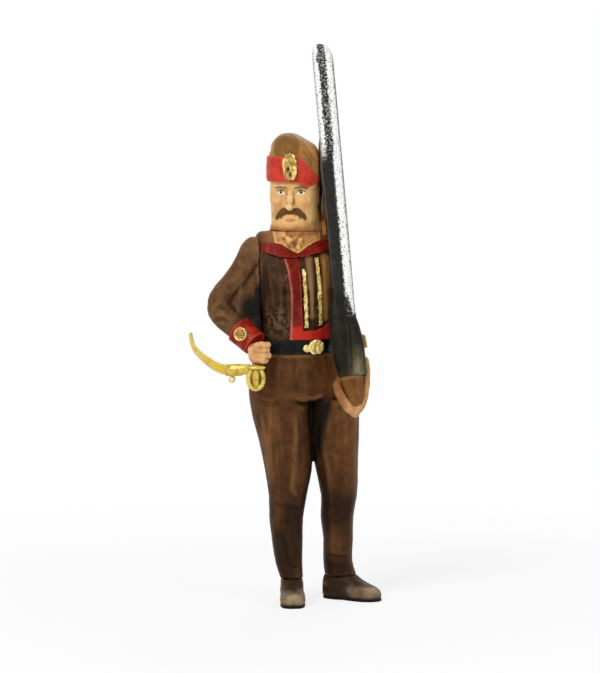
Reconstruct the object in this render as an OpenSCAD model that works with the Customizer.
// Toy soldier of painted cast metal, rifle at the left shoulder, sabre at the right hip.
// The head turns on the neck and both arms swing on shoulder studs.
// Millimetres, +Z up, +X to the figure's left, -Y to the front, origin on the floor.

/* [Stance] */
// Turn of the chest to the figure's left, degrees
chest_turn = 12; // [8:1:15]
// Turn of the left shoulder's face to the figure's left, degrees
left_arm_turn = 0; // [-2:1:2]
// Turn of the hips to the figure's left, degrees
hips_turn = 10; // [7:1:13]
// Turn of the head to the figure's left, degrees
head_turn = -8; // [-10:1:-2]
// Turn of the right boot to the figure's left, degrees
right_boot_turn = 2; // [-4:1:8]
// Turn of the left boot to the figure's left, degrees
left_boot_turn = 65; // [55:1:75]
// Chest axis, to the left of the origin
chest_x = 1.1; // [0.9:0.05:1.3]
// Chest axis, behind the origin
chest_y = 2.1; // [1.9:0.05:2.3]
// Middle of the hips, to the left of the chest axis
hips_x = 0.9; // [0.7:0.05:1.1]

/* [Boots] */
// Length of a boot
boot_l = 7.6; // [7:0.1:8.2]
// Width of a boot
boot_w = 3; // [2.7:0.1:3.3]
// Height of a boot up to the trouser hem
boot_h = 2.9; // [2.6:0.1:3.2]
// Right ankle, to the left of the origin
right_ankle_x = 0.8; // [0.6:0.1:1]
// Right ankle, behind the origin
right_ankle_y = 0.4; // [0.2:0.1:0.6]
// Left ankle, to the left of the origin
left_ankle_x = 6.6; // [6.3:0.1:6.9]
// Left ankle, behind the origin
left_ankle_y = 2.6; // [2.3:0.1:2.9]

/* [Trousers] */
// Height of a leg from the boot to the seat
leg_h = 21.5; // [20.5:0.1:22.5]
// Width of a thigh
thigh_w = 7.4; // [7:0.1:7.8]
// Depth of a thigh
thigh_d = 7.4; // [7:0.1:7.8]
// Height of the seat
seat_h = 5.6; // [5.2:0.1:6]
// Width of the hips
hip_w = 12.9; // [12.4:0.1:13.4]
// Depth of the hips
hip_d = 8.4; // [8:0.1:8.8]

/* [Jacket] */
// Width of the chest
chest_w = 10.2; // [10:0.1:10.5]
// Depth of the chest
chest_d = 8.2; // [7.9:0.1:8.3]
// Height from the hem to the neck
jacket_h = 14.4; // [14:0.1:14.8]
// Distance between the flat faces that carry the arms
arm_face_w = 8.8; // [8.6:0.1:9]
// Drop of the shoulder studs below the neck
stud_drop = 2.5; // [2.3:0.1:2.7]
// Height of the belt
belt_h = 1.65; // [1.5:0.05:1.8]
// Thickness of the belt
belt_t = 0.3; // [0.25:0.05:0.4]
// Width of the buckle
buckle_w = 1.9; // [1.7:0.1:2.1]
// Height of the buckle
buckle_h = 1.75; // [1.6:0.05:1.9]
// Thickness of the buckle
buckle_t = 0.35; // [0.3:0.05:0.45]
// Thickness of the raised edging and cords
trim_t = 0.25; // [0.2:0.05:0.35]
// Thickness of the collar
collar_t = 0.45; // [0.35:0.05:0.55]

/* [Head] */
// Width of the head
head_w = 5.7; // [5.5:0.1:5.9]
// Depth of the head
head_d = 6.9; // [6.7:0.1:7.1]
// Height from the neck to the top of the skull
head_h = 9.2; // [9:0.1:9.4]
// Length of the nose
nose_l = 1.5; // [1.3:0.1:1.7]
// Thickness of the hair
hair_t = 0.14; // [0.1:0.02:0.16]
// Width of the moustache
moustache_w = 3.6; // [3.3:0.1:3.8]
// Width of the cap
cap_w = 6.2; // [6.1:0.05:6.3]
// Depth of the cap
cap_d = 7.3; // [7.2:0.05:7.4]
// Height of the cap
cap_h = 5.5; // [5.2:0.1:5.8]
// Height of the cap's lower edge above the neck
cap_z = 5.6; // [5.4:0.1:5.8]
// Thickness of the red cap front
band_t = 0.22; // [0.18:0.02:0.3]
// Height of the badge
badge_h = 3.2; // [2.9:0.1:3.4]
// Thickness of the badge
badge_t = 0.4; // [0.3:0.05:0.5]

/* [Arms] */
// Thickness of a sleeve
sleeve_w = 3.5; // [3.4:0.1:3.6]
// Length of the right upper arm
right_upper_arm_l = 8.1; // [7.9:0.1:8.3]
// Length of the right forearm
right_forearm_l = 7.1; // [6.9:0.1:7.3]
// Length of the left upper arm
left_upper_arm_l = 6.9; // [6.7:0.1:7.1]
// Length of a cuff
cuff_l = 2.8; // [2.6:0.1:3]
// Thickness of a cuff
cuff_t = 0.3; // [0.25:0.05:0.4]
// Width of a cuff button
button_w = 1.7; // [1.5:0.1:1.9]
// Height of a cuff button
button_h = 0.5; // [0.4:0.05:0.6]
// Width of the right fist
fist_w = 2.8; // [2.6:0.1:3]
// Length of the left hand
hand_l = 7.4; // [7.2:0.1:7.6]

/* [Rifle] */
// Length above the shoulder
muzzle_l = 25.2; // [24:0.2:26]
// Length below the shoulder
butt_l = 14.6; // [14.3:0.1:14.9]
// Width of the barrel
barrel_w = 2.5; // [2.4:0.05:2.6]
// Depth of the barrel
barrel_d = 1.7; // [1.6:0.05:1.8]
// Width of the butt
butt_w = 3.7; // [3.5:0.1:3.9]
// Depth of the butt
butt_d = 2.8; // [2.6:0.1:3]
// Height of the wooden end of the butt
butt_h = 3.6; // [3.3:0.1:3.9]
// Distance in front of the shoulder stud
rifle_reach = 4.4; // [4.3:0.05:4.5]
// Lean of the muzzle to the back, degrees
rifle_lean = 13; // [12.5:0.1:13.5]
// Tilt of the muzzle to the head, degrees
rifle_tilt = 2.4; // [2.1:0.1:2.7]

/* [Sabre] */
// Length of the scabbard in front view and depth
scabbard_l = 13; // [12.4:0.1:13.4]
// Thickness of the scabbard
scabbard_w = 1.4; // [1.2:0.1:1.6]
// Width of the guard
guard_w = 2.4; // [2.2:0.1:2.6]
// Height of the guard
guard_h = 3.1; // [2.9:0.1:3.3]
// Thickness of the guard's bow
bow_w = 0.6; // [0.5:0.05:0.7]

/* [Pins] */
// Diameter of a shoulder stud
stud_w = 1.5; // [1.3:0.1:1.7]
// Diameter of the neck pin
neck_pin_w = 1.6; // [1.4:0.1:1.8]
// Diameter of the waist dowel
waist_dowel_w = 2; // [1.6:0.1:2.4]
// Diameter of the hip and ankle dowels
leg_dowel_w = 1.1; // [0.9:0.1:1.3]
// Running gap around a turning pin
pin_gap = 0.05; // [0.03:0.01:0.08]
// Gap between a turning part and its neighbour
turn_gap = 0.22; // [0.18:0.02:0.3]

/* [Hidden] */

brown = "#573a26";
red = "#b03326";
gold = "#c4a24a";
flesh = "#dda66b";
black = "#1c1c1c";
steel = "#c8c8c8";
leather = "#6e5b48";
brass = "#b08d3c";
hair_grey = "#8a7a66";

seat_z = boot_h + leg_h;
hem_z = seat_z + seat_h;
hips_at = [chest_x + hips_x, chest_y, seat_z];
chest_at = [chest_x, chest_y, hem_z];
neck_at = chest_at + [0, 0, jacket_h + turn_gap];
stud_h = jacket_h - stud_drop;
overrun = chest_w;

// Curves, rings and skins

function unit(v) = v / norm(v);
function turned(v, a) = [v.x * cos(a) - v.y * sin(a), v.x * sin(a) + v.y * cos(a), v.z];
function full(c, n) = sign(c) * pow(abs(c), 2 / n);
function curve_at(rows, t) =
    let (n = len(rows) - 1)
    let (i = min(floor(t), n - 1))
    let (f = t - i)
    let (a = rows[max(i - 1, 0)])
    let (b = rows[i])
    let (c = rows[i + 1])
    let (d = rows[min(i + 2, n)])
    (2 * b + (c - a) * f + (2 * a - 5 * b + 4 * c - d) * f * f
        + (3 * b - a - 3 * c + d) * f * f * f) / 2;
function smooth(rows, steps) =
    [for (i = [0 : (len(rows) - 1) * steps]) curve_at(rows, i / steps)];
function ring(centre, u, v, ru, rv, n, sides) =
    [for (k = [0 : sides - 1])
        centre + u * ru * full(cos(360 * k / sides), n) + v * rv * full(sin(360 * k / sides), n)];
function skin_faces(count, sides) = concat(
    [for (k = [1 : sides - 2]) [0, k, k + 1]],
    [for (k = [1 : sides - 2]) let (e = (count - 1) * sides) [e, e + k + 1, e + k]],
    [for (i = [0 : count - 2], k = [0 : sides - 1])
        let (b = i * sides)
        let (j = (k + 1) % sides)
        [b + k, b + k + sides, b + j + sides]],
    [for (i = [0 : count - 2], k = [0 : sides - 1])
        let (b = i * sides)
        let (j = (k + 1) % sides)
        [b + k, b + j + sides, b + j]]);

module skin(rings) {
    sides = len(rings[0]);
    polyhedron([for (r = rings) for (p = r) p], skin_faces(len(rings), sides));
}

// Rows of an upright form: height, sideways, backward, half width, half depth
function sized(shares, h, w, d) =
    [for (s = shares) [s[1] * w, s[2] * d, s[0] * h, s[3] * w, s[4] * d]];
module upright(rows, sides, n = 2, grow = 0)
    skin([for (r = rows) ring([r[0], r[1], r[2]], [1, 0, 0], [0, 1, 0],
        r[3] + grow, r[4] + grow, n, sides)]);

// Rings square to a path, u along the given side vector
function way(points, i) =
    unit(points[min(i + 1, len(points) - 1)] - points[max(i - 1, 0)]);
module swept(points, radii, side, sides, flat = 1, n = 2) {
    skin([for (i = [0 : len(points) - 1])
        let (t = way(points, i))
        let (u = unit(side - t * (side * t)))
        ring(points[i], u, cross(t, u), radii[i], radii[i] * flat, n, sides)]);
}
module ball(centre, size_shares, size, sides)
    skin([for (i = [1 : sides / 2 - 1])
        let (a = 180 - 360 * i / sides)
        ring(centre + [0, 0, cos(a) * size_shares.z * size], [1, 0, 0], [0, 1, 0],
            sin(a) * size_shares.x * size, sin(a) * size_shares.y * size, 2, sides)]);

module at_chest() translate(chest_at) rotate(chest_turn) children();
module at_hips() translate(hips_at) rotate(hips_turn) children();
module at_head() translate(neck_at) rotate(head_turn) children();

// Front outline pushed forward, outline in shares of a width and a height
module outline_forward(shares, w, h)
    rotate([90, 0, 0]) linear_extrude(overrun) polygon([for (s = shares) [s.x * w, s.y * h]]);

// Jacket

jacket_shares = [
    [0, 0, 0, 0.45, 0.45],
    [0.13, 0, 0, 0.445, 0.455],
    [0.35, 0, -0.01, 0.46, 0.49],
    [0.55, 0, -0.02, 0.485, 0.5],
    [0.73, 0, 0, 0.5, 0.45],
    [0.84, 0, 0.015, 0.49, 0.36],
    [0.91, 0, 0.03, 0.464, 0.31],
    [0.96, 0, 0.03, 0.414, 0.28],
    [1, 0, 0.03, 0.295, 0.275]];
jacket_rows = smooth(sized(jacket_shares, jacket_h, chest_w, chest_d), 2);

module jacket_form(grow = 0) upright(jacket_rows, 24, 2.15, grow);

// Shoulder frames at the stud's height, +X out of the shoulder
module at_stud(side) translate([0, 0, stud_h])
    rotate(side < 0 ? 180 : left_arm_turn - chest_turn) children();

module arm_faces() for (s = [-1, 1]) at_stud(s)
    translate([arm_face_w / 2, -overrun, -2 * overrun]) cube([overrun, 2 * overrun, 4 * overrun]);

module jacket() color(brown) at_chest() difference() {
    jacket_form();
    arm_faces();
    by_rifle() stock_room();
    translate([0, 0, jacket_h * 0.7]) cylinder(h = jacket_h, d = neck_pin_w + 2 * pin_gap, $fn = 32);
    translate([0, 0, -overrun]) cylinder(h = overrun + jacket_h * 0.2, d = waist_dowel_w, $fn = 32);
    for (s = [-1, 1])
        at_stud(s) translate([arm_face_w * 0.25, 0, 0]) rotate([0, 90, 0])
            cylinder(h = arm_face_w, d = stud_w + 2 * pin_gap, $fn = 32);
}

collar_shares = [
    [-0.43, 0.858], [-0.4, 0.838], [-0.25, 0.8], [-0.04, 0.79], [-0.018, 0.81], [0, 0.796],
    [0.22, 0.826], [0.41, 0.872], [0.43, 0.905], [0.36, 0.936], [0.22, 0.918], [0.1, 0.878],
    [0.03, 0.845], [-0.018, 0.825], [-0.08, 0.843], [-0.16, 0.878], [-0.2, 0.898], [-0.29, 0.908],
    [-0.38, 0.916], [-0.43, 0.897]];
module collar() color(red) at_chest() difference() {
    intersection() {
        jacket_form(collar_t);
        outline_forward(collar_shares, chest_w, jacket_h);
    }
    jacket_form();
    arm_faces();
    by_rifle() stock_room();
}

neckcloth_shares = [
    [-0.018, 0.826], [-0.08, 0.844], [-0.16, 0.879], [-0.2, 0.899], [-0.27, 0.907], [-0.3, 1.1],
    [0.3, 1.1], [0.27, 0.926], [0.22, 0.919], [0.1, 0.879], [0.03, 0.846]];
module neckcloth() color(flesh) at_chest() difference() {
    intersection() {
        jacket_form(trim_t);
        outline_forward(neckcloth_shares, chest_w, jacket_h);
    }
    jacket_form();
}

// The edging runs down to the belt
edging_shares = [
    [-0.13, 0.09], [-0.125, 0.3], [-0.13, 0.5], [-0.155, 0.68], [-0.19, 0.785], [-0.022, 0.785],
    [-0.01, 0.6], [0, 0.4], [0.025, 0.19], [0.18, 0.195], [0.28, 0.22], [0.4, 0.275],
    [0.42, 0.09]];
module front_edging() color(red) at_chest() difference() {
    intersection() {
        jacket_form(trim_t);
        outline_forward(edging_shares, chest_w, jacket_h);
    }
    jacket_form();
    arm_faces();
    belt_zone();
}

cord_shares = [
    [[0.003, 0.705], [0.052, 0.7], [0.088, 0.215], [0.04, 0.215]],
    [[0.17, 0.79], [0.22, 0.79], [0.265, 0.24], [0.215, 0.225]]];
module chest_cords() color(gold) at_chest() for (s = cord_shares) difference() {
    intersection() {
        jacket_form(trim_t * 1.4);
        outline_forward(s, chest_w, jacket_h);
    }
    jacket_form();
}

module belt_zone(grow = 0)
    translate([-overrun, -overrun, -overrun]) cube([2 * overrun, 2 * overrun, overrun + belt_h + grow]);
module belt_form(grow = 0) intersection() {
    jacket_form(belt_t + grow);
    belt_zone(grow);
}
module belt() color(black) at_chest() difference() {
    belt_form();
    jacket_form();
}

buckle_lobe_share = 0.62;
module belt_buckle() color(gold) at_chest() difference() {
    intersection() {
        jacket_form(belt_t + buckle_t);
        translate([chest_w * 0.18, 0, belt_h / 2]) rotate([90, 0, 0]) {
            scale([buckle_w / buckle_h, 1, 1]) cylinder(h = overrun, d = buckle_h, $fn = 28);
            translate([-buckle_w * buckle_lobe_share, -buckle_h * 0.08, 0])
                cylinder(h = overrun, d = buckle_h * 0.5, $fn = 20);
        }
    }
    jacket_form(belt_t);
}

module waist_dowel() color(brass) at_chest()
    translate([0, 0, -seat_h * 0.6])
        cylinder(h = seat_h * 0.6 + jacket_h * 0.2, d = waist_dowel_w, $fn = 32);

// Trousers and boots

seat_shares = [
    [0, 0.002, 0.01, 0.5, 0.46],
    [0.28, -0.012, 0, 0.484, 0.475],
    [0.62, -0.038, -0.01, 0.442, 0.465],
    [1, -0.058, 0, 0.376, 0.44]];
seat_rows = smooth(sized(seat_shares, seat_h, hip_w, hip_d), 3);
module seat_form(grow = 0) at_hips() upright(seat_rows, 24, 2.1, grow);
module trouser_seat() color(brown) difference() {
    seat_form();
    at_chest() translate([0, 0, -seat_h * 0.6])
        cylinder(h = overrun, d = waist_dowel_w, $fn = 32);
    for (p = [right_hip, left_hip])
        translate(p - [0, 0, overrun])
            cylinder(h = overrun + seat_h * 0.35, d = leg_dowel_w, $fn = 24);
}

right_hip = hips_at + [-hip_w * 0.19, 0, 0];
left_hip = hips_at + [hip_w * 0.285, hip_d * 0.02, 0];
right_ankle = [right_ankle_x, right_ankle_y, boot_h];
left_ankle = [left_ankle_x, left_ankle_y, boot_h];
seam_x = hips_at.x + hip_w * 0.095;

// Rows of a leg: height, sideways, backward, half width, half depth
right_leg_shares = [
    [0, 0, 0, 0.185, 0.2],
    [0.08, -0.03, 0.01, 0.215, 0.235],
    [0.2, -0.04, 0.02, 0.245, 0.285],
    [0.33, -0.04, 0.03, 0.275, 0.31],
    [0.45, 0.01, 0, 0.305, 0.3],
    [0.6, 0.045, 0, 0.378, 0.36],
    [0.76, 0.03, 0, 0.435, 0.41],
    [0.9, 0, 0, 0.49, 0.46],
    [1, 0, 0, 0.525, 0.49]];
left_leg_shares = [
    [0, 0.01, 0, 0.255, 0.23],
    [0.08, -0.03, 0.01, 0.24, 0.25],
    [0.2, -0.01, 0.02, 0.245, 0.285],
    [0.33, -0.01, 0.03, 0.265, 0.31],
    [0.45, 0.035, 0, 0.295, 0.3],
    [0.6, 0.02, 0, 0.345, 0.35],
    [0.76, 0, 0, 0.395, 0.41],
    [0.9, 0, 0, 0.415, 0.45],
    [1, 0, 0, 0.41, 0.475]];
function leg_rows(ankle, hip, shares) = smooth([for (s = shares)
    let (p = ankle + (hip - ankle) * s[0])
    [p.x + s[1] * thigh_w, p.y + s[2] * thigh_d, p.z, s[3] * thigh_w, s[4] * thigh_d]], 2);

module leg(ankle, hip, shares, side) difference() {
    upright(leg_rows(ankle, hip, shares), 22, 2.1);
    translate([seam_x, -overrun, 0]) mirror([side, 0, 0])
        cube([overrun, 2 * overrun, 4 * overrun]);
    translate(hip - [0, 0, leg_h * 0.1]) cylinder(h = leg_h, d = leg_dowel_w, $fn = 24);
    translate(ankle - [0, 0, overrun])
        cylinder(h = overrun + leg_h * 0.1, d = leg_dowel_w, $fn = 24);
}
module right_leg() color(brown) leg(right_ankle, right_hip, right_leg_shares, 0);
module left_leg() color(brown) leg(left_ankle, left_hip, left_leg_shares, 1);

module hip_dowels() color(brass) for (p = [right_hip, left_hip])
    translate(p - [0, 0, leg_h * 0.1])
        cylinder(h = leg_h * 0.1 + seat_h * 0.35, d = leg_dowel_w, $fn = 24);

module ankle_dowels() color(brass) for (p = [right_ankle, left_ankle])
    translate(p - [0, 0, boot_h * 0.5])
        cylinder(h = boot_h * 0.5 + leg_h * 0.1, d = leg_dowel_w, $fn = 24);

// Rows of a boot from heel to toe: forward, middle height, half width, half height
boot_shares = [
    [-0.27, 0.36, 0.2, 0.34],
    [-0.245, 0.45, 0.36, 0.6],
    [-0.18, 0.5, 0.44, 0.8],
    [-0.04, 0.52, 0.46, 0.88],
    [0.15, 0.46, 0.46, 0.82],
    [0.28, 0.32, 0.48, 0.66],
    [0.42, 0.19, 0.51, 0.56],
    [0.56, 0.14, 0.47, 0.48],
    [0.65, 0.13, 0.34, 0.38],
    [0.69, 0.13, 0.16, 0.24]];
module boot(ankle, turn) difference() {
    translate([ankle.x, ankle.y, 0]) rotate(turn) {
        rows = smooth(boot_shares, 2);
        intersection() {
            skin([for (r = rows)
                ring([0, -r[0] * boot_l, r[1] * boot_h], [1, 0, 0], [0, 0, 1],
                    r[2] * boot_w, r[3] * boot_h, 2.4, 20)]);
            translate([-overrun, -overrun, 0]) cube([2 * overrun, 2 * overrun, boot_h]);
        }
    }
    translate(ankle - [0, 0, boot_h * 0.5]) cylinder(h = overrun, d = leg_dowel_w, $fn = 24);
}
module right_boot() color(leather) boot(right_ankle, right_boot_turn);
module left_boot() color(leather) boot(left_ankle, left_boot_turn);

// Head and cap

head_shares = [
    [0, 0, 0.02, 0.475, 0.32],
    [0.03, 0, -0.01, 0.47, 0.365],
    [0.09, 0, -0.04, 0.468, 0.43],
    [0.2, 0, -0.025, 0.475, 0.46],
    [0.36, 0, 0, 0.493, 0.475],
    [0.52, 0, 0.01, 0.5, 0.49],
    [0.7, 0, 0.01, 0.495, 0.49],
    [0.86, 0, 0.01, 0.43, 0.42],
    [0.96, 0, 0.01, 0.27, 0.27],
    [1, 0, 0.01, 0.1, 0.1]];
head_rows = smooth(sized(head_shares, head_h, head_w, head_d), 2);
nose_shares = [[0, 0.12, 0.13], [0.3, 0.22, 0.22], [0.75, 0.14, 0.3], [1, 0.1, 0.42]];
module nose() translate([0, -head_d * 0.42, head_h * 0.3])
    skin([for (s = nose_shares)
        ring([0, (s[0] - 1) * nose_l * 0.2, s[0] * nose_l], [1, 0, 0], [0, 1, 0],
            s[1] * nose_l, (0.75 - s[2]) * nose_l, 2, 12)]);
module head_form() {
    upright(head_rows, 24, 2.15);
    nose();
    for (s = [-1, 1])
        ball([s * head_w * 0.49, head_d * 0.05, head_h * 0.43], [0.06, 0.22, 0.32], head_w * 0.6, 12);
}
module head() color(flesh) at_head() difference() {
    head_form();
    translate([0, 0, -overrun]) cylinder(h = overrun + head_h * 0.4, d = neck_pin_w, $fn = 32);
}

// Short hair at the back and sides, below the cap
hair_share = 0.3;
module hair() color(hair_grey) at_head() difference() {
    intersection() {
        upright(head_rows, 24, 2.15, hair_t);
        translate([-overrun, head_d * 0.12, head_h * hair_share])
            cube([2 * overrun, overrun, cap_z - head_h * hair_share]);
    }
    head_form();
}

moustache_shares = [[-1, -0.26, 0.045], [-0.74, -0.12, 0.1], [-0.36, 0.015, 0.135], [0, -0.01, 0.1],
    [0.36, 0.015, 0.135], [0.74, -0.12, 0.1], [1, -0.26, 0.045]];
module moustache() color(leather) at_head() difference() {
    swept([for (s = smooth(moustache_shares, 2))
            [s[0] * moustache_w / 2, (0.085 * s[0] * s[0] - 0.468) * head_d,
                head_h * 0.245 + s[1] * moustache_w]],
        [for (s = smooth(moustache_shares, 2)) s[2] * moustache_w], [0, 0, 1], 12, 0.8);
    head_form();
}

cap_shares = [
    [0, 0, 0, 0.485, 0.49],
    [0.12, 0, 0, 0.5, 0.5],
    [0.4, -0.005, 0.005, 0.495, 0.495],
    [0.58, -0.02, 0.015, 0.465, 0.475],
    [0.74, -0.045, 0.025, 0.4, 0.415],
    [0.88, -0.085, 0.03, 0.285, 0.31],
    [0.96, -0.105, 0.03, 0.185, 0.2],
    [1, -0.11, 0.03, 0.08, 0.09]];
cap_rows = smooth(sized(cap_shares, cap_h, cap_w, cap_d), 2);
module cap_form(grow = 0) translate([0, 0, cap_z]) upright(cap_rows, 24, 2.1, grow);
module cap_crown() color("#7c5a2c") at_head() difference() {
    cap_form();
    upright(head_rows, 24, 2.15);
}

band_shares = [
    [-0.6, 0.02], [-0.6, 0.54], [-0.3, 0.57], [0.1, 0.56], [0.22, 0.52], [0.4, 0.3],
    [0.5, 0.1], [0.47, 0], [0.3, 0.02], [-0.1, 0.03]];
module cap_band() color(red) at_head() difference() {
    intersection() {
        cap_form(band_t);
        translate([0, 0, cap_z]) outline_forward(band_shares, cap_w, cap_h);
    }
    cap_form();
}

badge_shares = [
    [0, 0], [0.17, 0.08], [0.24, 0.28], [0.27, 0.52], [0.24, 0.74], [0.14, 0.9], [0, 1],
    [-0.14, 0.92], [-0.22, 0.74], [-0.26, 0.5], [-0.22, 0.26], [-0.15, 0.07]];
module cap_badge() color(gold) at_head() difference() {
    intersection() {
        cap_form(band_t + badge_t);
        translate([0, 0, cap_z + cap_h * 0.07]) outline_forward(badge_shares, badge_h, badge_h);
    }
    cap_form();
    intersection() {
        cap_form(band_t);
        translate([0, 0, cap_z]) outline_forward(band_shares, cap_w, cap_h);
    }
}

module neck_pin() color(brass) at_head() translate([0, 0, -jacket_h * 0.28])
    cylinder(h = jacket_h * 0.28 + head_h * 0.4, d = neck_pin_w, $fn = 32);

// Arms, in the chest's own frame

arm_x = arm_face_w / 2 + turn_gap;
function bend(a, b, c, t) = (a * (1 - t) + b * t) * (1 - t) + (b * (1 - t) + c * t) * t;
// The upper arm bows inward, by a share of the sleeve on the right and of zero on the left
function arm_bow(s) = s.x < 0 ? sleeve_w * 0.09 : 0;
function arm_points(s, e, w) =
    let (a = e + unit(s - e) * sleeve_w * 0.62)
    let (b = e + unit(w - e) * sleeve_w * 0.62)
    let (top = unit(s - e) * sleeve_w)
    concat([for (k = [0.52, 0.47, 0.36, 0.2]) s + top * k],
        [for (i = [0 : 3]) s + (a - s) * i / 4 + [arm_bow(s) * i * (4 - i) / 4, 0, 0]],
        [for (i = [0 : 6]) bend(a, e, b, i / 6)],
        [for (i = [1 : 4]) b + (w - b) * i / 4]);
arm_width_shares = [0.12, 0.25, 0.38, 0.46, 0.485, 0.455, 0.43, 0.42, 0.425, 0.435, 0.445, 0.45,
    0.45, 0.445, 0.44, 0.42, 0.4, 0.38, 0.36];
// The sleeve ends inside its cuff
module sleeve_form(s, e, w)
    swept(arm_points(s, e, w - unit(w - e) * cuff_l * 0.12),
        [for (k = arm_width_shares) k * sleeve_w], [1, 0, 0], 18);
module sleeve(s, e, w, side) difference() {
    union() {
        sleeve_form(s, e, w);
        children();
    }
    at_stud(side) {
        translate([arm_x - 2 * overrun, -2 * overrun, -3 * overrun])
            cube([2 * overrun, 4 * overrun, 6 * overrun]);
        rotate([0, 90, 0]) cylinder(h = arm_x + sleeve_w * 0.3, d = stud_w, $fn = 32);
    }
    belt_form(turn_gap);
}
module cuff_solid(s, e, w) {
    t = unit(w - e);
    swept([w - t * cuff_l, w - t * cuff_l * 0.5, w],
        [sleeve_w * 0.39 + cuff_t * 1.2, sleeve_w * 0.37 + cuff_t * 1.1, sleeve_w * 0.36 + cuff_t],
        [1, 0, 0], 20);
}
module cuff(s, e, w) difference() {
    cuff_solid(s, e, w);
    sleeve_form(s, e, w);
    belt_form(turn_gap);
}
module cuff_button(s, e, w, facing) {
    t = unit(w - e);
    out = unit(facing - t * (facing * t));
    across = cross(t, out);
    at = w - t * cuff_l * 0.52 + out * (sleeve_w * 0.385 + cuff_t * 0.7);
    difference() {
        multmatrix([
            [t.x, across.x, out.x, at.x],
            [t.y, across.y, out.y, at.y],
            [t.z, across.z, out.z, at.z],
            [0, 0, 0, 1]])
            rotate_extrude($fn = 28) polygon([
                [0, -button_h * 0.2], [button_w / 2, -button_h * 0.2], [button_w / 2, button_h * 0.5],
                [button_w * 0.42, button_h * 0.8], [button_w * 0.25, button_h], [0, button_h * 1.08]]);
        cuff_solid(s, e, w);
    }
}
module stud(side) at_stud(side) translate([arm_face_w * 0.27, 0, 0]) rotate([0, 90, 0])
    cylinder(h = arm_x - arm_face_w * 0.27 + sleeve_w * 0.3, d = stud_w, $fn = 32);

// Right arm and sabre

right_shoulder = [-arm_x - sleeve_w * 0.1, 0, stud_h];
right_elbow = right_shoulder + unit([-0.56, 0.12, -0.82]) * right_upper_arm_l;
right_wrist = right_elbow + unit([0.58, -0.595, -0.56]) * right_forearm_l;
right_fist = right_wrist + turned([0.17, -0.27, -0.37] * fist_w, -chest_turn);

// Thin wall in the crook of the right arm, up to the flat face of the chest
crook_foot_share = [0.72, -0.2, -0.06];
module crook() {
    a = right_shoulder + (right_elbow - right_shoulder) * 0.3;
    b = right_elbow + (right_wrist - right_elbow) * 0.6;
    out = unit(cross(right_elbow - right_shoulder, right_wrist - right_elbow)) * sleeve_w * 0.14;
    top = a + unit(a + b - 2 * right_elbow) * sleeve_w * 0.75;
    foot = b + crook_foot_share * sleeve_w;
    skin([[a - out, right_elbow - out, b - out, foot - out, top - out],
        [a + out, right_elbow + out, b + out, foot + out, top + out]]);
}
module right_sleeve() color(brown) at_chest()
    sleeve(right_shoulder, right_elbow, right_wrist, -1) crook();
module right_cuff() color(red) at_chest() difference() {
    cuff(right_shoulder, right_elbow, right_wrist);
    crook();
}
module right_cuff_button() color(gold) at_chest()
    cuff_button(right_shoulder, right_elbow, right_wrist, turned([-0.1, -1, 0], -chest_turn));
module right_shoulder_stud() color(brass) at_chest() stud(-1);

module at_fist() at_chest() translate(right_fist) rotate(-chest_turn) children();
module finger(points, radii) for (i = [0 : len(points) - 2]) hull() {
    translate(points[i]) sphere(radii[i], $fn = 10);
    translate(points[i + 1]) sphere(radii[i + 1], $fn = 10);
}
// Fingers one above the other: height and reach
right_finger_shares = [[0.37, 0.36], [0.15, 0.32], [-0.07, 0.38], [-0.28, 0.26]];
module right_hand() color(flesh) difference() {
    at_fist() {
        hull() {
            translate([-0.2, -0.06, 0.14] * fist_w) sphere(fist_w * 0.3, $fn = 16);
            translate([0.12, -0.08, 0.16] * fist_w) sphere(fist_w * 0.28, $fn = 16);
            translate([-0.18, -0.08, -0.16] * fist_w) sphere(fist_w * 0.27, $fn = 16);
            translate([0.1, -0.08, -0.16] * fist_w) sphere(fist_w * 0.26, $fn = 16);
        }
        for (s = right_finger_shares)
            finger([[-0.12, -0.26, s[0] * 0.92] * fist_w, [s[1] * 0.6, -0.3, s[0]] * fist_w,
                    [s[1], -0.17, s[0]] * fist_w, [s[1] * 0.9, 0.02, s[0] * 0.95] * fist_w],
                [0.12 * fist_w, 0.14 * fist_w, 0.145 * fist_w, 0.13 * fist_w]);
        finger([[-0.28, -0.14, 0.2] * fist_w, [-0.08, -0.24, 0.38] * fist_w, [0.14, -0.3, 0.44] * fist_w],
            [0.15 * fist_w, 0.13 * fist_w, 0.1 * fist_w]);
    }
    at_chest() cuff_solid(right_shoulder, right_elbow, right_wrist);
    sabre_form();
}

scabbard_shares = [
    [-0.08, -0.02, -0.143], [-0.25, 0.02, -0.157], [-0.342, 0.092, -0.154], [-0.434, 0.2, -0.122],
    [-0.516, 0.338, -0.077], [-0.58, 0.485, -0.038], [-0.625, 0.615, 0.024], [-0.644, 0.692, 0.106]];
scabbard_width_shares = [0.45, 0.45, 0.44, 0.42, 0.38, 0.34, 0.31, 0.26];
scabbard_path = smooth(scabbard_shares * scabbard_l, 2);
scabbard_radii = [for (r = smooth([for (s = scabbard_width_shares) [s]], 2)) r[0] * scabbard_w];
module scabbard_form(grow = 0, from = 0, to = len(scabbard_path) - 1)
    swept([for (i = [from : to]) scabbard_path[i]],
        [for (i = [from : to]) scabbard_radii[i] + grow], [0, 0, 1], 14, 0.62);
module scabbard() color(gold) difference() {
    at_fist() scabbard_form();
    guard_form();
}
module scabbard_locket() color(gold) at_fist() {
    difference() {
        scabbard_form(trim_t * 0.45, 1, 3);
        scabbard_form();
    }
    translate(scabbard_path[2] - [0, 0, scabbard_w * 0.46 + trim_t * 0.45 + bow_w * 0.55])
        rotate([90, 0, 30]) rotate_extrude($fn = 24)
            translate([bow_w * 0.55, 0]) circle(d = bow_w * 0.45, $fn = 16);
}

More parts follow.
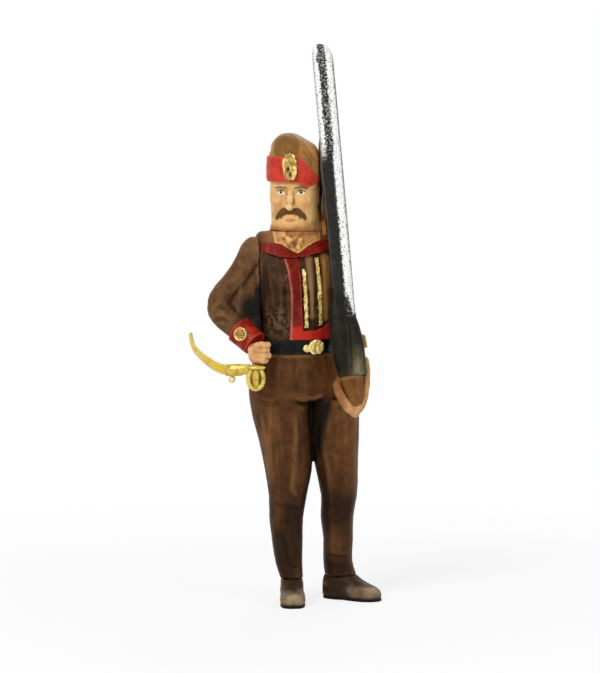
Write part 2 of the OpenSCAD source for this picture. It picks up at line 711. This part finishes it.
module guard_form() at_fist() translate([-0.14 * fist_w, -0.16 * fist_w, -0.5 * fist_w - guard_h / 2]) {
    skin_loop(guard_w / 2 - bow_w / 2, guard_h / 2 - bow_w / 2, bow_w / 2);
    ball([0, 0, 0], [0.14, 0.16, 0.5], guard_h, 12);
    ball([0, 0, guard_h * 0.42], [0.5, 0.3, 0.14], guard_w, 12);
}
// Closed bow, a ring of rings
module skin_loop(rx, rz, r) {
    turns = 20;
    sides = 10;
    points = [for (i = [0 : turns - 1], k = [0 : sides - 1])
        let (a = 360 * i / turns)
        let (b = 360 * k / sides)
        [(rx + r * cos(b)) * cos(a), r * 1.3 * sin(b), (rz + r * cos(b)) * sin(a)]];
    faces = concat(
        [for (i = [0 : turns - 1], k = [0 : sides - 1])
            [i * sides + k, ((i + 1) % turns) * sides + k,
                ((i + 1) % turns) * sides + (k + 1) % sides]],
        [for (i = [0 : turns - 1], k = [0 : sides - 1])
            [i * sides + k, ((i + 1) % turns) * sides + (k + 1) % sides,
                i * sides + (k + 1) % sides]]);
    polyhedron(points, faces);
}
module sabre_guard() color(gold) guard_form();
module sabre_form() {
    guard_form();
    at_fist() scabbard_form();
}

// Left arm and rifle

cap_side = norm([cap_w / 2 * cos(chest_turn - head_turn), cap_d / 2 * sin(chest_turn - head_turn)]);
rifle_up = unit([-tan(rifle_tilt), tan(rifle_lean), 1]);
rifle_left = unit([1, 0, tan(rifle_tilt)]);
rifle_back = cross(rifle_up, rifle_left);
rifle_rise = jacket_h + cap_z - stud_h + cap_h * 0.3;
rifle_at = [cap_side * 0.86 + turn_gap + barrel_w / 2 + tan(rifle_tilt) * rifle_rise, -rifle_reach, stud_h];
function on_rifle(p) = rifle_at + rifle_left * p.x + rifle_back * p.y + rifle_up * p.z;
module by_rifle() multmatrix([
    [rifle_left.x, rifle_back.x, rifle_up.x, rifle_at.x],
    [rifle_left.y, rifle_back.y, rifle_up.y, rifle_at.y],
    [rifle_left.z, rifle_back.z, rifle_up.z, rifle_at.z],
    [0, 0, 0, 1]]) children();
module at_rifle() at_chest() by_rifle() children();

left_shoulder = [arm_x + sleeve_w * 0.08, 0, stud_h];
left_elbow = left_shoulder + unit([0.12, 0.02, -1]) * left_upper_arm_l;
left_wrist = on_rifle([butt_w * 0.22, butt_d * 0.82, -butt_l * 0.8]);

module left_sleeve() color(brown) difference() {
    at_chest() sleeve(left_shoulder, left_elbow, left_wrist, 1);
    at_rifle() lock_form();
    seat_form(turn_gap);
}
module left_cuff() color(red) difference() {
    at_chest() cuff(left_shoulder, left_elbow, left_wrist);
    at_rifle() lock_form();
    seat_form(turn_gap);
}
module left_cuff_button() color(gold) at_chest()
    cuff_button(left_shoulder, left_elbow, left_wrist, [1, -0.35, 0]);
module left_shoulder_stud() color(brass) at_chest() stud(1);

// Rows along the barrel: height from breech to muzzle, sideways, width, depth
barrel_shares = [
    [-0.36, 0, 0.2, 0.2], [-0.32, 0, 0.36, 0.36], [-0.2, 0, 0.48, 0.48], [0.3, 0, 0.5, 0.5],
    [0.6, 0, 0.5, 0.5], [0.9, 0, 0.5, 0.5], [0.965, -0.03, 0.44, 0.46], [0.99, -0.1, 0.3, 0.34],
    [1, -0.16, 0.14, 0.18]];
barrel_rows = [for (r = smooth(barrel_shares, 2))
    [r[1] * barrel_w, 0, r[0] * muzzle_l, r[2] * barrel_w, r[3] * barrel_d]];
module barrel_form(grow = 0) upright(barrel_rows, 20, 2.5, grow);
module rifle_barrel() color(steel) at_rifle() barrel_form();

// Rows along the lock and stock: height, sideways, backward, half width, half depth
lock_shares = [
    [-1, 0.03, 0.05, 0.45, 0.44], [-0.985, 0.03, 0.05, 0.49, 0.48], [-0.75, 0.02, 0.06, 0.49, 0.48],
    [-0.6, -0.02, 0.1, 0.45, 0.46], [-0.45, -0.1, 0.2, 0.4, 0.42], [-0.25, -0.12, 0.24, 0.36, 0.36],
    [0, -0.1, 0.26, 0.33, 0.33], [0.16, -0.1, 0.3, 0.3, 0.36]];
forestock_shares = [
    [0.16, -0.1, 0.3, 0.27, 0.35], [0.29, -0.08, 0.45, 0.3, 0.49], [0.36, -0.06, 0.64, 0.28, 0.68],
    [0.46, -0.04, 0.8, 0.25, 0.84], [0.58, 0.01, 0.8, 0.22, 0.84], [0.74, 0.01, 0.8, 0.22, 0.84],
    [0.87, 0.01, 0.66, 0.19, 0.68], [0.92, 0.01, 0.36, 0.12, 0.28]];
web_shares = [
    [0.29, -0.13, 1.66, 0.17, 0.1], [0.33, -0.13, 1.66, 0.24, 0.17], [0.48, -0.115, 1.69, 0.21, 0.2],
    [0.66, -0.076, 1.6, 0.18, 0.2], [0.85, -0.05, 1.38, 0.16, 0.18], [0.92, -0.05, 1.25, 0.11, 0.12]];
butt_shares = [
    [-1, 0.08, 0.06, 0.16, 0.2], [-0.8, 0.06, 0.06, 0.25, 0.3], [-0.4, 0.04, 0.06, 0.31, 0.36],
    [0, 0.03, 0.06, 0.34, 0.38]];
function stock_rows(shares, l) = [for (r = smooth(shares, 2))
    [r[1] * butt_w, r[2] * butt_d, r[0] * l, r[3] * butt_w, r[4] * butt_d]];
module lock_form(grow = 0) upright(stock_rows(lock_shares, butt_l), 20, 2.5, grow);
module forestock_form(grow = 0) upright(stock_rows(forestock_shares, butt_l), 20, 2.5, grow);
// Room that the jacket and its collar leave for the stock
module stock_room() {
    lock_form(turn_gap);
    forestock_form(turn_gap);
}
module butt_form() translate([0, 0, -butt_l]) upright(stock_rows(butt_shares, butt_h), 18, 2.4);
module rifle_lock() color(black) at_rifle() difference() {
    lock_form();
    barrel_form();
}
// The wood reaches back beside the head
module web_form() upright(stock_rows(web_shares, butt_l), 20, 3.5);
module rifle_forestock() color(brown) at_rifle() difference() {
    union() {
        forestock_form();
        web_form();
    }
    barrel_form();
}
module rifle_butt() color(brown) at_rifle() butt_form();

finger_row_shares = [0.2, 0.04, -0.12, -0.27];
// Finger ends outside the butt and the thumb inside it, meeting below
finger_end_shares = [[0.275, 0.1, 0.25, 0.06], [0.28, 0.07, 0.08, 0.06], [0.25, 0.05, -0.16, 0.055],
    [0.2, 0.04, -0.34, 0.062], [0.13, 0.02, -0.47, 0.072], [0.05, -0.01, -0.545, 0.08],
    [-0.02, -0.02, -0.565, 0.08]];
thumb_shares = [[-0.08, 0.22, 0, 0.1], [-0.22, 0.07, -0.12, 0.072], [-0.225, -0.05, -0.27, 0.075],
    [-0.165, -0.08, -0.42, 0.078], [-0.09, -0.05, -0.52, 0.08], [-0.02, -0.02, -0.565, 0.08]];
// The hand reaches round the stock, and its height is its own
hand_reach_share = 2.643;
function on_hand(p) = [p.x * butt_w * 2, p.y * butt_d * hand_reach_share, p.z * hand_l];
module left_hand() color(flesh) difference() {
    at_rifle() translate([0, 0, -butt_l]) {
        hull() {
            translate(on_hand([0.11, 0.32, 0.22])) sphere(hand_l * 0.13, $fn = 16);
            translate(on_hand([-0.02, 0.27, 0.04])) sphere(hand_l * 0.13, $fn = 16);
            translate(on_hand([0.12, 0.26, -0.12])) sphere(hand_l * 0.12, $fn = 16);
        }
        hull() {
            translate(on_hand([-0.04, 0.26, -0.02])) sphere(hand_l * 0.13, $fn = 16);
            translate(on_hand([0.05, 0.16, -0.56])) sphere(hand_l * 0.09, $fn = 16);
            translate(on_hand([0.12, 0.24, -0.16])) sphere(hand_l * 0.12, $fn = 16);
        }
        for (s = finger_row_shares)
            finger([on_hand([0.14 + s * 0.08, 0.27, s + 0.02]), on_hand([0.2 + s * 0.16, 0.1, s - 0.03])],
                [0.09 * hand_l, 0.07 * hand_l]);
        for (row = [finger_end_shares, thumb_shares])
            finger([for (s = row) on_hand(s)], [for (s = row) s[3] * hand_l]);
    }
    at_rifle() {
        lock_form();
        butt_form();
    }
    at_chest() cuff_solid(left_shoulder, left_elbow, left_wrist);
}

jacket();
collar();
neckcloth();
front_edging();
chest_cords();
belt();
belt_buckle();
trouser_seat();
right_leg();
left_leg();
right_boot();
left_boot();
waist_dowel();
hip_dowels();
ankle_dowels();
head();
hair();
moustache();
cap_crown();
cap_band();
cap_badge();
neck_pin();
left_sleeve();
left_cuff();
left_cuff_button();
left_hand();
rifle_barrel();
rifle_lock();
rifle_forestock();
rifle_butt();
left_shoulder_stud();
right_sleeve();
right_cuff();
right_cuff_button();
right_hand();
scabbard();
scabbard_locket();
sabre_guard();
right_shoulder_stud();
